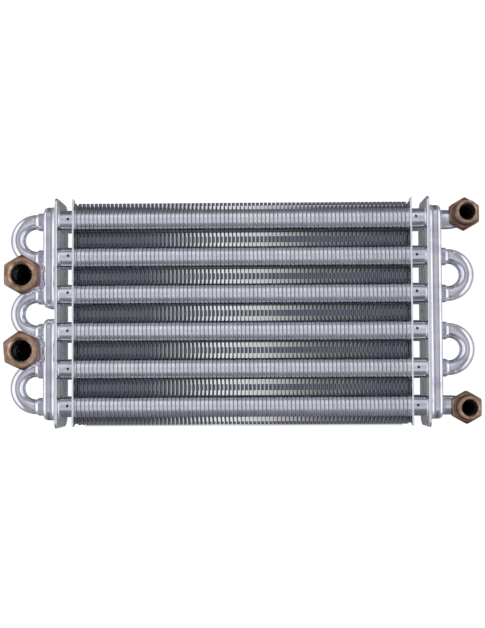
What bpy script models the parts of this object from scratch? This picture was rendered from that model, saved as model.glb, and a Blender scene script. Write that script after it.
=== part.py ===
"""Finned-tube boiler heat exchanger with a heating and a hot-water circuit, lying on its flue side.

Units are metres and +Z is up. X runs along the tubes and Y across them. The burner side and the four
fittings face up. The origin is the middle of the flue side, at the height that it rests on.
"""

import math

import bmesh
import bpy
from mathutils import Vector
from mathutils.geometry import delaunay_2d_cdt

FIT_GAP = 0.0003
LEFT, RIGHT = -1, 1
MILLIMETRES = 1000
INSIDE_OUTLINE = 1
FILL_LIMIT = 0.0001
SMOOTH_ANGLE = math.radians(35)

# Tubes: six oval outer tubes, each round one inner tube
TUBE_COUNT = 6
TUBE_PITCH = 0.0250
TUBE_HEIGHT = 0.030
OUTER_TUBE_WIDTH = 0.0138
OUTER_TUBE_DEPTH = 0.028
OUTER_TUBE_WALL = 0.0008
INNER_TUBE_RADIUS = 0.0050
INNER_TUBE_WALL = 0.0008
ARC_STEPS = 4
CORNER_STEPS = 3
ROUND_SIDES = 12
TURNED_SIDES = 18

# Plates across the tubes, measured from the middle to their outer faces
PLATE_DEPTH = 0.050
SIDE_PLATE_FACE = 0.1127
SIDE_PLATE_THICKNESS = 0.0010
SIDE_PLATE_HALF_WIDTH = 0.0742
SIDE_PLATE_EAR = 0.0013
SIDE_PLATE_EAR_BOTTOM = 0.0430
HEADER_PLATE_FACE = 0.1242
HEADER_PLATE_THICKNESS = 0.0015
HEADER_PLATE_HALF_WIDTH = 0.0765
HEADER_PLATE_CORNER = 0.0045
HEADER_PLATE_FLUE_CORNER = 0.0120
OUTER_TUBE_END = HEADER_PLATE_FACE + 0.0012

# Fins: each solid fin here has the copper of several thin ones
FIN_COUNT = 14
FIN_THICKNESS = 0.0023
FIN_PACK_FACE = 0.1112
FIN_HALF_WIDTH = TUBE_COUNT * TUBE_PITCH / 2
FIN_BOTTOM = 0.0040
FIN_VALLEY = 0.030
COLLAR_WALL = 0.0006
FIN_LIP = 0.0012

# Pressed header shells, measured out from the header plate
SHELL_HEIGHT = 0.0085
SHELL_WALL = 0.0010
SHELL_FLANGE = 0.0012
SHELL_SIDE_MARGIN = 0.0020
SHELL_HALF_DEPTH = 0.0162
SHELL_CORNER = 0.0082
SHELL_ROOT = 0.0030
SHELL_ROUNDING = 0.0030
SHELL_ROUNDING_STEPS = 3
SHELL_END_INSET = 0.0024
SHELL_SIDE_INSET = 0.0026
SHELL_FACE = HEADER_PLATE_FACE + SHELL_HEIGHT

# Return bends, with a socket over each inner tube's end
SOCKET_START = SHELL_FACE + FIT_GAP
SOCKET_RADIUS = 0.0060
SOCKET_BORE = INNER_TUBE_RADIUS + FIT_GAP
SOCKET_TAPER = 0.0012
LEFT_BEND_REACH = 0.1570
RIGHT_BEND_REACH = 0.1560
BEND_RADIUS = TUBE_PITCH / 2
RIGHT_SOCKET_END = RIGHT_BEND_REACH - BEND_RADIUS - INNER_TUBE_RADIUS - SOCKET_TAPER
INNER_TUBE_END = RIGHT_SOCKET_END - 0.0004
BEND_STEPS = 10

# Heating elbows and fittings, on the left
HEATING_AXIS = 0.1450
HEATING_PORT_HEIGHT = 0.037
HEATING_PIPE_RADIUS = 0.0078
HEATING_PIPE_BORE = 0.0068
HEATING_SPIGOT_RADIUS = 0.0049
HEATING_SPIGOT_BORE = 0.0040
HEATING_SPIGOT_LENGTH = 0.0023
HEATING_COLLAR_RADIUS = 0.0080
HEATING_COLLAR_LENGTH = 0.0024
HEATING_PIPE_TOP = 0.052
HEATING_HEX_FLATS = 0.0230
HEATING_HEX_BOTTOM = 0.0490
HEATING_HEX_TOP = 0.0585
HEATING_FACE_RADIUS = 0.0112
HEATING_FACE_EDGE = 0.0005
HEATING_FACE_DEPTH = 0.0016
HEATING_THREAD_RADIUS = 0.0074
HEATING_MOUTH_RADIUS = 0.0086
HEATING_LEDGE_RADIUS = 0.0066
HEATING_LOWER_TURN = math.radians(5)

# Hot-water elbows and fittings, on the right
HOT_AXIS = 0.1475
HOT_FITTING_PLACES = (0.0642, -0.0637)
HOT_PIPE_RADIUS = 0.0065
HOT_PIPE_BORE = 0.0048
HOT_BEND_RADIUS = 0.0080
HOT_PIPE_TOP = 0.044
HOT_HEX_FLATS = 0.0190
HOT_HEX_BOTTOM = 0.0410
HOT_HEX_TOP = 0.0500
HOT_SPIGOT_TOP = 0.0615
HOT_SPIGOT_RADIUS = 0.0075
HOT_BORE_RADIUS = 0.0055
HOT_LEDGE_RADIUS = 0.0042
HOT_LEDGE_TOP = 0.0520

LEDGE_HEIGHT = 0.0008
EDGE_CHAMFER = 0.0006
HEX_CHAMFER = 0.0011
ELBOW_STEPS = 6

TUBE_PLACES = [(TUBE_COUNT - 1) / 2 * TUBE_PITCH - i * TUBE_PITCH for i in range(TUBE_COUNT)]


class Surface:
    """The vertices and faces of one closed body, gathered loop by loop."""

    def __init__(self):
        self.points = []
        self.faces = []

    def loop(self, points):
        first = len(self.points)
        self.points.extend(points)
        return list(range(first, len(self.points)))

    def bridge(self, first, second):
        for i in range(len(first)):
            after = (i + 1) % len(first)
            self.faces.append((first[i], first[after], second[after], second[i]))

    def fill(self, outline, holes=()):
        """A flat face across X, with convex holes: a triangle with all corners on one hole is in it."""
        corners = []
        edges = []
        for loop in (outline, *holes):
            first = len(corners)
            corners.extend(loop)
            edges.extend((first + i, first + (i + 1) % len(loop)) for i in range(len(loop)))
        flat = [MILLIMETRES * Vector(self.points[corner][1:]) for corner in corners]
        triangles = delaunay_2d_cdt(flat, edges, [], INSIDE_OUTLINE, FILL_LIMIT)[2]
        for triangle in triangles:
            face = [corners[i] for i in triangle]
            if not any(set(face) <= set(hole) for hole in holes):
                self.faces.append(face)


def clear_scene():
    for obj in list(bpy.data.objects):
        bpy.data.objects.remove(obj)


def metal(name, colour, roughness):
    material = bpy.data.materials.new(name)
    material.use_nodes = True
    shader = material.node_tree.nodes["Principled BSDF"]
    shader.inputs["Base Color"].default_value = (*colour, 1)
    shader.inputs["Metallic"].default_value = 1
    shader.inputs["Roughness"].default_value = roughness
    return material


def add_object(name, surface, material):
    mesh = bpy.data.meshes.new(name)
    mesh.from_pydata(surface.points, [], surface.faces)
    shape = bmesh.new()
    shape.from_mesh(mesh)
    bmesh.ops.recalc_face_normals(shape, faces=shape.faces)
    shape.to_mesh(mesh)
    shape.free()
    mesh.shade_smooth()
    mesh.set_sharp_from_angle(angle=SMOOTH_ANGLE)
    mesh.materials.append(material)
    obj = bpy.data.objects.new(name, mesh)
    bpy.context.scene.collection.objects.link(obj)
    return obj


def oval(middle, grow=0.0):
    """The outline of an outer tube in Y and Z, grown all round: two half circles and two flats."""
    radius = OUTER_TUBE_WIDTH / 2 + grow
    straight = (OUTER_TUBE_DEPTH - OUTER_TUBE_WIDTH) / 2
    points = []
    for half in range(2):
        centre = TUBE_HEIGHT + (straight if half == 0 else -straight)
        for step in range(ARC_STEPS + 1):
            angle = math.pi * (half + step / ARC_STEPS)
            points.append((middle + radius * math.cos(angle), centre + radius * math.sin(angle)))
    return points


def circle(middle, height, radius, sides=ROUND_SIDES):
    turns = [math.tau * i / sides for i in range(sides)]
    return [(middle + radius * math.cos(turn), height + radius * math.sin(turn)) for turn in turns]


def rounded_rectangle(middle, height, half_width, half_depth, burner_corner, flue_corner):
    """An outline in Y and Z with round corners of one radius above and another below."""
    points = []
    for quarter in range(4):
        side_y = 1 if quarter in (0, 3) else -1
        side_z = 1 if quarter in (0, 1) else -1
        corner = burner_corner if side_z > 0 else flue_corner
        centre_y = middle + side_y * (half_width - corner)
        centre_z = height + side_z * (half_depth - corner)
        for step in range(CORNER_STEPS + 1):
            angle = math.pi / 2 * (quarter + step / CORNER_STEPS)
            points.append((centre_y + corner * math.cos(angle), centre_z + corner * math.sin(angle)))
    return points


def header_plate_outline():
    return rounded_rectangle(
        0,
        PLATE_DEPTH / 2,
        HEADER_PLATE_HALF_WIDTH,
        PLATE_DEPTH / 2,
        HEADER_PLATE_CORNER,
        HEADER_PLATE_FLUE_CORNER,
    )


def side_plate_outline():
    """A rectangle with a small ear on each side along the burner edge."""
    half = [
        (SIDE_PLATE_HALF_WIDTH, 0),
        (SIDE_PLATE_HALF_WIDTH, SIDE_PLATE_EAR_BOTTOM - SIDE_PLATE_EAR),
        (SIDE_PLATE_HALF_WIDTH + SIDE_PLATE_EAR, SIDE_PLATE_EAR_BOTTOM),
        (SIDE_PLATE_HALF_WIDTH + SIDE_PLATE_EAR, PLATE_DEPTH),
    ]
    return half + [(-y, z) for y, z in reversed(half)]


def at(x, outline):
    return [(x, y, z) for y, z in outline]


def add_plate(name, face, thickness, outline, material):
    """A flat plate across the tubes, with a hole for each of them."""
    holes = [oval(place, FIT_GAP) for place in TUBE_PLACES]
    surface = Surface()
    sides = []
    for x in (face, face - math.copysign(thickness, face)):
        rim = surface.loop(at(x, outline))
        edges = [surface.loop(at(x, hole)) for hole in holes]
        surface.fill(rim, edges)
        sides.append([rim, *edges])
    for first, second in zip(*sides):
        surface.bridge(first, second)
    add_object(name, surface, material)


def add_outer_tube(name, place, material):
    surface = Surface()
    loops = [
        surface.loop(at(x, oval(place, grow)))
        for x, grow in (
            (-OUTER_TUBE_END, 0),
            (OUTER_TUBE_END, 0),
            (OUTER_TUBE_END, -OUTER_TUBE_WALL),
            (-OUTER_TUBE_END, -OUTER_TUBE_WALL),
        )
    ]
    for i, loop in enumerate(loops):
        surface.bridge(loop, loops[(i + 1) % len(loops)])
    add_object(name, surface, material)


def fin_outline():
    """A fin's edge: straight on the flue side, and a lobe over each tube on the burner side."""
    radius = OUTER_TUBE_WIDTH / 2 + FIN_LIP
    centre = TUBE_HEIGHT + (OUTER_TUBE_DEPTH - OUTER_TUBE_WIDTH) / 2
    points = [(-FIN_HALF_WIDTH, FIN_BOTTOM), (FIN_HALF_WIDTH, FIN_BOTTOM)]
    points.append((FIN_HALF_WIDTH, FIN_VALLEY))
    for place in TUBE_PLACES:
        points.append((place + radius, FIN_VALLEY))
        for step in range(ARC_STEPS + 1):
            angle = math.pi * step / ARC_STEPS
            points.append((place + radius * math.cos(angle), centre + radius * math.sin(angle)))
        points.append((place - radius, FIN_VALLEY))
    points.append((-FIN_HALF_WIDTH, FIN_VALLEY))
    return points


def add_fin_pack(material):
    """All fins and the collars between them as one body, with a clear way for each tube."""
    outline = fin_outline()
    collars = [oval(place, FIT_GAP + COLLAR_WALL) for place in TUBE_PLACES]
    bores = [oval(place, FIT_GAP) for place in TUBE_PLACES]
    surface = Surface()
    spacing = (2 * FIN_PACK_FACE - FIN_THICKNESS) / (FIN_COUNT - 1)
    earlier_collars = None
    end_bores = []
    for fin in range(FIN_COUNT):
        start = -FIN_PACK_FACE + fin * spacing
        rims = []
        for x in (start, start + FIN_THICKNESS):
            rim = surface.loop(at(x, outline))
            is_end = x == -FIN_PACK_FACE or (fin == FIN_COUNT - 1 and x != start)
            holes = [surface.loop(at(x, hole)) for hole in (bores if is_end else collars)]
            surface.fill(rim, holes)
            rims.append(rim)
            if is_end:
                end_bores.append(holes)
            elif earlier_collars and x == start:
                for first, second in zip(earlier_collars, holes):
                    surface.bridge(first, second)
            else:
                earlier_collars = holes
        surface.bridge(*rims)
    for first, second in zip(*end_bores):
        surface.bridge(first, second)
    add_object("fin_pack", surface, material)


def add_shell(name, side, places, port, material):
    """A pressed dish over some tube ends: open to the plate, with round holes in its floor."""
    middle = (places[0] + places[-1]) / 2
    half_width = abs(places[0] - places[-1]) / 2 + OUTER_TUBE_WIDTH / 2 + SHELL_SIDE_MARGIN
    start = HEADER_PLATE_FACE + FIT_GAP
    surface = Surface()

    def ring(x, inset_y, inset_z):
        corner = SHELL_CORNER - inset_z
        sizes = (half_width - inset_y, SHELL_HALF_DEPTH - inset_z)
        outline = rounded_rectangle(middle, TUBE_HEIGHT, *sizes, corner, corner)
        return surface.loop(at(side * x, outline))

    def rounding(face, inset):
        """The loops from the straight wall round to the floor."""
        loops = []
        for step in range(SHELL_ROUNDING_STEPS + 1):
            angle = math.pi / 2 * step / SHELL_ROUNDING_STEPS
            away = 1 - math.cos(angle)
            x = face - SHELL_ROUNDING * (1 - math.sin(angle))
            loops.append(ring(x, inset + SHELL_END_INSET * away, inset + SHELL_SIDE_INSET * away))
        return loops

    outer = [
        ring(start, -SHELL_FLANGE, -SHELL_FLANGE),
        ring(start + SHELL_ROOT, 0, 0),
        *rounding(SHELL_FACE, 0),
    ]
    inner = [ring(start, SHELL_WALL, SHELL_WALL), *rounding(SHELL_FACE - SHELL_WALL, SHELL_WALL)]
    surface.bridge(outer[0], inner[0])
    for loops in (outer, inner):
        for first, second in zip(loops, loops[1:]):
            surface.bridge(first, second)
    holes = [circle(place, TUBE_HEIGHT, SOCKET_BORE) for place in places]
    if port is not None:
        holes.append(circle(port, HEATING_PORT_HEIGHT, HEATING_SPIGOT_RADIUS + FIT_GAP))
    floors = []
    for x, rim in ((SHELL_FACE, outer[-1]), (SHELL_FACE - SHELL_WALL, inner[-1])):
        edges = [surface.loop(at(side * x, hole)) for hole in holes]
        surface.fill(rim, edges)
        floors.append(edges)
    for first, second in zip(*floors):
        surface.bridge(first, second)
    add_object(name, surface, material)


def add_pipe(name, stations, across, material):
    """A hollow round pipe through stations of (place, direction, outer radius, bore radius)."""
    surface = Surface()
    turns = [math.tau * i / ROUND_SIDES for i in range(ROUND_SIDES)]

    def ring(place, direction, radius):
        sideways = across.cross(direction)
        return surface.loop(
            [place + radius * (math.cos(turn) * sideways + math.sin(turn) * across) for turn in turns]
        )

    outer = [ring(place, direction, radius) for place, direction, radius, _ in stations]
    inner = [ring(place, direction, bore) for place, direction, _, bore in stations]
    for loops in (outer, inner):
        for first, second in zip(loops, loops[1:]):
            surface.bridge(first, second)
    surface.bridge(outer[0], inner[0])
    surface.bridge(outer[-1], inner[-1])
    add_object(name, surface, material)


def add_return_bend(name, side, reach, upper, lower, material):
    out = Vector((side, 0, 0))
    bore = INNER_TUBE_RADIUS - INNER_TUBE_WALL
    bend_start = reach - BEND_RADIUS - INNER_TUBE_RADIUS
    lead = [
        (SOCKET_START, SOCKET_RADIUS, SOCKET_BORE),
        (bend_start - SOCKET_TAPER, SOCKET_RADIUS, SOCKET_BORE),
        (bend_start, INNER_TUBE_RADIUS, bore),
    ]
    stations = [
        (Vector((side * x, upper, TUBE_HEIGHT)), out, radius, inner) for x, radius, inner in lead
    ]
    centre = Vector((side * bend_start, (upper + lower) / 2, TUBE_HEIGHT))
    for step in range(1, BEND_STEPS):
        angle = math.pi * step / BEND_STEPS
        place = centre + BEND_RADIUS * Vector((side * math.sin(angle), math.cos(angle), 0))
        direction = Vector((side * math.cos(angle), -math.sin(angle), 0))
        stations.append((place, direction, INNER_TUBE_RADIUS, bore))
    for place, _, outer, inner in reversed(stations[: len(lead)]):
        stations.append((Vector((place.x, lower, place.z)), -out, outer, inner))
    add_pipe(name, stations, Vector((0, 0, 1)), material)


def elbow_stations(start, axis, top, bend_radius, radius, bore, drift=0.0):
    """The stations of a pipe that leaves the shell sideways and turns up, drifting a little along Y."""
    side = math.copysign(1, axis)
    corner = Vector((axis - side * bend_radius, start.y, start.z + bend_radius))
    stations = []
    for step in range(ELBOW_STEPS + 1):
        angle = math.pi / 2 * step / ELBOW_STEPS
        place = corner + bend_radius * Vector((side * math.sin(angle), 0, -math.cos(angle)))
        place.y += drift * step / ELBOW_STEPS
        direction = Vector((side * math.cos(angle), 0, math.sin(angle)))
        stations.append((place, direction, radius, bore))
    stations.append((Vector((axis, start.y + drift, top)), Vector((0, 0, 1)), radius, bore))
    return stations


def add_heating_elbow(name, place, material):
    out = Vector((LEFT, 0, 0))
    collar_start = SHELL_FACE + FIT_GAP
    collar_end = collar_start + HEATING_COLLAR_LENGTH
    bend_radius = HEATING_AXIS - collar_end - FIT_GAP
    lead = [
        (collar_start - HEATING_SPIGOT_LENGTH, HEATING_SPIGOT_RADIUS, HEATING_SPIGOT_BORE),
        (collar_start, HEATING_SPIGOT_RADIUS, HEATING_SPIGOT_BORE),
        (collar_start, HEATING_COLLAR_RADIUS, HEATING_SPIGOT_BORE),
        (collar_end, HEATING_COLLAR_RADIUS, HEATING_PIPE_BORE),
    ]
    stations = [
        (Vector((LEFT * x, place, HEATING_PORT_HEIGHT)), out, radius, bore)
        for x, radius, bore in lead
    ]
    stations += elbow_stations(
        stations[0][0],
        LEFT * HEATING_AXIS,
        HEATING_PIPE_TOP,
        bend_radius,
        HEATING_PIPE_RADIUS,
        HEATING_PIPE_BORE,
    )
    add_pipe(name, stations, Vector((0, 1, 0)), material)


def add_hot_water_elbow(name, place, fitting_place, material):
    out = Vector((RIGHT, 0, 0))
    lead = [(SOCKET_START, SOCKET_BORE), (RIGHT_SOCKET_END, SOCKET_BORE)]
    stations = [
        (Vector((x, place, TUBE_HEIGHT)), out, HOT_PIPE_RADIUS, bore) for x, bore in lead
    ]
    stations += elbow_stations(
        stations[0][0],
        HOT_AXIS,
        HOT_PIPE_TOP,
        HOT_BEND_RADIUS,
        HOT_PIPE_RADIUS,
        HOT_PIPE_BORE,
        fitting_place - place,
    )
    add_pipe(name, stations, Vector((0, 1, 0)), material)


def turned(profile, sides=TURNED_SIDES):
    """A closed profile of (radius, height) points turned round the vertical axis."""
    surface = Surface()
    rings = [
        surface.loop([(x, y, height) for x, y in circle(0, 0, radius, sides)])
        for radius, height in profile
    ]
    for i, ring in enumerate(rings):
        surface.bridge(ring, rings[(i + 1) % len(rings)])
    return surface


def hexagon(name, flats, bottom, top, material):
    """A hexagonal prism that trims a turned fitting. Its corners point along Y."""
    surface = Surface()
    corner = flats / math.sqrt(3)
    turns = [math.tau * (i / 6 + 1 / 4) for i in range(6)]
    loops = [
        surface.loop([(corner * math.cos(turn), corner * math.sin(turn), z) for turn in turns])
        for z in (bottom, top)
    ]
    surface.bridge(*loops)
    surface.faces.extend(tuple(loop) for loop in loops)
    trimmer = add_object(name, surface, material)
    trimmer.hide_render = True
    trimmer.display_type = "WIRE"
    return trimmer


def add_fitting(name, profile, flats, place, turn, material):
    """A turned brass fitting whose widest part is trimmed to a hexagon."""
    heights = [height for _, height in profile]
    fitting = add_object(name, turned(profile), material)
    trimmer = hexagon(name + "_trimmer", flats, min(heights) - flats, max(heights) + flats, material)
    for obj in (fitting, trimmer):
        obj.location = (*place, 0)
        obj.rotation_euler.z = turn
    trim = fitting.modifiers.new("Hexagon", "BOOLEAN")
    trim.operation = "INTERSECT"
    trim.object = trimmer


def hexagon_profile(flats, bottom, top):
    """The outer points of a hexagon's turned blank, from its top down, with both ends chamfered."""
    corner = flats / math.sqrt(3)
    return [
        (flats / 2 - FIT_GAP, top),
        (corner, top - HEX_CHAMFER),
        (corner, bottom + HEX_CHAMFER),
        (flats / 2 - FIT_GAP, bottom),
    ]


def add_heating_fitting(name, place, turn, material):
    """A hexagon with a round face and a threaded bore in front, and a socket for the elbow behind."""
    socket = HEATING_PIPE_RADIUS + FIT_GAP
    ledge = HEATING_PIPE_TOP + FIT_GAP
    face_bottom = HEATING_HEX_TOP - HEATING_FACE_DEPTH
    profile = [
        (HEATING_FACE_RADIUS - HEATING_FACE_EDGE, HEATING_HEX_TOP),
        (HEATING_FACE_RADIUS, HEATING_HEX_TOP - HEATING_FACE_EDGE),
        *hexagon_profile(HEATING_HEX_FLATS, HEATING_HEX_BOTTOM, face_bottom),
        (socket, HEATING_HEX_BOTTOM),
        (socket, ledge),
        (HEATING_LEDGE_RADIUS, ledge),
        (HEATING_LEDGE_RADIUS, ledge + LEDGE_HEIGHT),
        (HEATING_THREAD_RADIUS, ledge + LEDGE_HEIGHT),
        (HEATING_THREAD_RADIUS, HEATING_HEX_TOP - HEATING_MOUTH_RADIUS + HEATING_THREAD_RADIUS),
        (HEATING_MOUTH_RADIUS, HEATING_HEX_TOP),
    ]
    axis = (LEFT * HEATING_AXIS, place)
    add_fitting(name, profile, HEATING_HEX_FLATS, axis, turn, material)


def add_hot_water_fitting(name, place, material):
    """A hexagon with a round spigot in front and a socket for the elbow behind."""
    socket = HOT_PIPE_RADIUS + FIT_GAP
    ledge = HOT_PIPE_TOP + FIT_GAP
    profile = [
        (HOT_SPIGOT_RADIUS - EDGE_CHAMFER, HOT_SPIGOT_TOP),
        (HOT_SPIGOT_RADIUS, HOT_SPIGOT_TOP - EDGE_CHAMFER),
        (HOT_SPIGOT_RADIUS, HOT_HEX_TOP),
        *hexagon_profile(HOT_HEX_FLATS, HOT_HEX_BOTTOM, HOT_HEX_TOP),
        (socket, HOT_HEX_BOTTOM),
        (socket, ledge),
        (HOT_LEDGE_RADIUS, ledge),
        (HOT_LEDGE_RADIUS, HOT_LEDGE_TOP),
        (HOT_BORE_RADIUS, HOT_LEDGE_TOP),
        (HOT_BORE_RADIUS, HOT_SPIGOT_TOP - EDGE_CHAMFER),
        (HOT_BORE_RADIUS + EDGE_CHAMFER, HOT_SPIGOT_TOP),
    ]
    add_fitting(name, profile, HOT_HEX_FLATS, (HOT_AXIS, place), 0, material)


def inner_tube_stations(place):
    bore = INNER_TUBE_RADIUS - INNER_TUBE_WALL
    along = Vector((1, 0, 0))
    return [
        (Vector((x, place, TUBE_HEIGHT)), along, INNER_TUBE_RADIUS, bore)
        for x in (-INNER_TUBE_END, INNER_TUBE_END)
    ]


def main():
    clear_scene()
    tinned = metal("tinned_copper", (0.74, 0.74, 0.78), 0.28)
    fin_metal = metal("fin_copper", (0.42, 0.44, 0.47), 0.45)
    plate_metal = metal("plate_steel", (0.66, 0.70, 0.72), 0.40)
    brass = metal("brass", (0.45, 0.26, 0.15), 0.38)
    copper = metal("inner_copper", (0.72, 0.38, 0.24), 0.40)

    add_fin_pack(fin_metal)
    for side, word in ((LEFT, "left"), (RIGHT, "right")):
        add_plate(
            "side_plate_" + word,
            side * SIDE_PLATE_FACE,
            SIDE_PLATE_THICKNESS,
            side_plate_outline(),
            plate_metal,
        )
        add_plate(
            "header_plate_" + word,
            side * HEADER_PLATE_FACE,
            HEADER_PLATE_THICKNESS,
            header_plate_outline(),
            plate_metal,
        )
    for number, place in enumerate(TUBE_PLACES, 1):
        add_outer_tube(f"outer_tube_{number}", place, tinned)
        add_pipe(f"inner_tube_{number}", inner_tube_stations(place), Vector((0, 0, 1)), copper)

    upper, lower = TUBE_PLACES[:3], TUBE_PLACES[3:]
    upper_port = (upper[1] + upper[2]) / 2
    lower_port = (lower[0] + lower[1]) / 2
    add_shell("header_shell_left_upper", LEFT, upper, upper_port, tinned)
    add_shell("header_shell_left_lower", LEFT, lower, lower_port, tinned)
    add_shell("header_shell_right", RIGHT, TUBE_PLACES, None, tinned)

    for number in range(TUBE_COUNT // 2):
        pair = TUBE_PLACES[2 * number : 2 * number + 2]
        add_return_bend(f"return_bend_left_{number + 1}", LEFT, LEFT_BEND_REACH, *pair, tinned)
    for number in range(TUBE_COUNT // 2 - 1):
        pair = TUBE_PLACES[2 * number + 1 : 2 * number + 3]
        add_return_bend(f"return_bend_right_{number + 1}", RIGHT, RIGHT_BEND_REACH, *pair, tinned)

    add_heating_elbow("heating_elbow_upper", upper_port, tinned)
    add_heating_elbow("heating_elbow_lower", lower_port, tinned)
    add_heating_fitting("heating_fitting_upper", upper_port, 0, brass)
    add_heating_fitting("heating_fitting_lower", lower_port, HEATING_LOWER_TURN, brass)
    ends = (TUBE_PLACES[0], TUBE_PLACES[-1])
    for word, place, fitting_place in zip(("top", "bottom"), ends, HOT_FITTING_PLACES):
        add_hot_water_elbow("hot_water_elbow_" + word, place, fitting_place, tinned)
        add_hot_water_fitting("hot_water_fitting_" + word, fitting_place, brass)


main()
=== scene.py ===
"""Studio scene of a finned-tube boiler heat exchanger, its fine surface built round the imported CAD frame.

Units are metres and +Z is up. X runs along the tubes and Y across them. The exchanger lies on its flue
side, so the burner side and the four fittings face up.
"""

import math
import random

import bmesh
import bpy
from mathutils import Matrix, Vector, noise
from mathutils.geometry import delaunay_2d_cdt


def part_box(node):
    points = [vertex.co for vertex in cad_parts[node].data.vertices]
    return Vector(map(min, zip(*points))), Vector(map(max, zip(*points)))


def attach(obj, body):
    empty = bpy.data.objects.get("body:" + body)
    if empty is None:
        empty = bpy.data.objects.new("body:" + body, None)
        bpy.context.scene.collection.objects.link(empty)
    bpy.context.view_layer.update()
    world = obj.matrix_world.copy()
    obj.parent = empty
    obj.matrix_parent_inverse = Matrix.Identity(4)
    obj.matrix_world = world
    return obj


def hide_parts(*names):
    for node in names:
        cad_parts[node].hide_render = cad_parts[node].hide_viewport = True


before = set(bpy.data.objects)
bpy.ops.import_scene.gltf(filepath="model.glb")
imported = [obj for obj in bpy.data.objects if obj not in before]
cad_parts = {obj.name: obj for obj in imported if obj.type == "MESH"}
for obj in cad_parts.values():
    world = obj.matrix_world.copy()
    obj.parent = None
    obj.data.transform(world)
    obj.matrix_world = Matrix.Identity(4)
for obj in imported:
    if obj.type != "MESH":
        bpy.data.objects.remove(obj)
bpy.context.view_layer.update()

MILLIMETRE = 0.001
INSIDE_OUTLINE = 1
FILL_LIMIT = 0.0001
SHARP_ANGLE = math.radians(38)
LEFT, RIGHT = -1, 1
UP = Vector((0, 0, 1))
ALONG = Vector((1, 0, 0))
ACROSS = Vector((0, 1, 0))

# How finely round stretches are cut
CORNER_STEPS = 8
OVAL_STEPS = 10
TUBE_STEPS = 22
PIPE_SIDES = 40
BEND_STEPS = 36
TAPER_STEPS = 6
ELBOW_STEPS = 18
BRAZE_STEPS = 4
FITTING_SIDES = 144
CHAMFER_STEPS = 8
THREAD_STEPS = 8
LOBE_STEPS = OVAL_STEPS + 2
VALLEY_STEPS = 4
COLLAR_ROOT_STEPS = 2
SHELL_ROOT_STEPS = 5
SHELL_ROUNDING_STEPS = 8

# Tubes
TUBE_COUNT = 6
TUBE_WALL = 0.0008
GAP_STEP = 0.00035

# Punch marks near the ends of the tubes: ranges are for the random draw
MARK_SEED = 7
MARK_PLACE = 0.1165
MARK_PLAY = 0.0004
MARK_DEGREES = (2, 12)
MARK_DEPTH = 0.0006
MARK_DEPTH_SHARES = (0.5, 1.0)
MARK_RADIUS = 0.00045
# Radius of the painted shade round each punch mark
MARK_SHADE_RADIUS = 0.0009

# Fins, each pressed from sheet with a collar round every tube and a bent tab between tubes
FIN_COUNT = 82
FIN_SHEET = 0.00040
FIN_LIP = 0.00060
FIN_VALLEY = 0.0300
VALLEY_ROUND = 0.0012
COLLAR_CLEARANCE = 0.00004
COLLAR_WALL = 0.00020
COLLAR_ROOT = 0.00025
COLLAR_GAP = 0.00006
TAB_HALF_WIDTH = 0.0021
TAB_GAP = 0.00045
FIN_WAVE = 0.00022
FIN_WAVE_STEP = 0.37
FIN_WAVE_LENGTH = 0.02
# Heights over which the fins darken downwards: partly dirt, partly painted shade in the deep valleys
FIN_GRIME_AND_SHADE_BOTTOM = 0.026
FIN_GRIME_AND_SHADE_TOP = 0.039

# Plates
PLATE_EDGE = 0.00022
PLATE_COLLAR = 0.0007
PLATE_COLLAR_CURVE = ((1, 0), (0.7, 0.3), (0.2, 0.6), (0, 1))
HEADER_CORNER = 0.0045
HEADER_FLUE_CORNER = 0.0120
SIDE_EAR = 0.0013
SIDE_EAR_BOTTOM = 0.0430

# Shells
SHELL_WALL = 0.0010
SHELL_FLANGE = 0.0012
SHELL_LIP = 0.0004
SHELL_ROOT = 0.0030
SHELL_ROUNDING = 0.0030
SHELL_CORNER = 0.0082
SHELL_END_INSET = 0.0024
SHELL_SIDE_INSET = 0.0026

# Sockets and elbows
SOCKET_RADIUS = 0.0060
SOCKET_TAPER = 0.0022
BRAZE_FILLET = 0.0008
HEATING_PIPE_RADIUS = 0.0078
HEATING_PIPE_BORE = 0.0068
HEATING_SPIGOT_RADIUS = 0.0049
HEATING_SPIGOT_BORE = 0.0040
HEATING_SPIGOT_LENGTH = 0.0020
HEATING_COLLAR_RADIUS = 0.0080
HEATING_COLLAR_LENGTH = 0.0024
HEATING_COLLAR_EDGE = 0.0003
HOT_PIPE_RADIUS = 0.0065
HOT_PIPE_BORE = 0.0048
HOT_BEND_RADIUS = 0.0080
FIT_GAP = 0.0003
PIPE_PLAY = 0.0001

# Brass fittings: heights are measured down from the face, or up from the hexagon's bottom
HEATING_FLATS = 0.0230
HEATING_FACE_RADIUS = 0.0112
HEATING_FACE_EDGE = 0.0005
HEATING_EDGE_WAIST = 0.3
HEATING_FACE_DEPTH = 0.0016
HEATING_MOUTH_RADIUS = 0.0086
HEATING_MOUTH_DEPTH = 0.0010
HEATING_THREAD_RADIUS = 0.0076
HEATING_LEDGE_RADIUS = 0.0066
HEATING_SOCKET_DEPTH = 0.0033
HEATING_LEDGE_DEPTH = 0.0041
HEATING_LOWER_TURN = math.radians(5)
HOT_FLATS = 0.0190
HOT_HEX_HEIGHT = 0.0090
HOT_SPIGOT_RADIUS = 0.0075
HOT_SPIGOT_ROOT = 0.0006
HOT_SPIGOT_ROOT_WAIST = 0.0002
HOT_SPIGOT_EDGE = 0.0005
HOT_SPIGOT_EDGE_WAIST = (0.0001, 0.0002)
HOT_BORE_RADIUS = 0.0055
HOT_MOUTH_RADIUS = 0.0060
HOT_MOUTH_DEPTH = 0.0006
HOT_LEDGE_RADIUS = 0.0042
HOT_LEDGE_DEPTH = 0.0095
HOT_SOCKET_DEPTH = 0.0033
HEX_SOFTNESS = 70
HEX_FACE_MARGIN = 0.0002
HEX_CHAMFER_SLOPE = math.tan(math.radians(30))
THREAD_PITCH = 0.00134
THREAD_DEPTH = 0.0007
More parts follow.
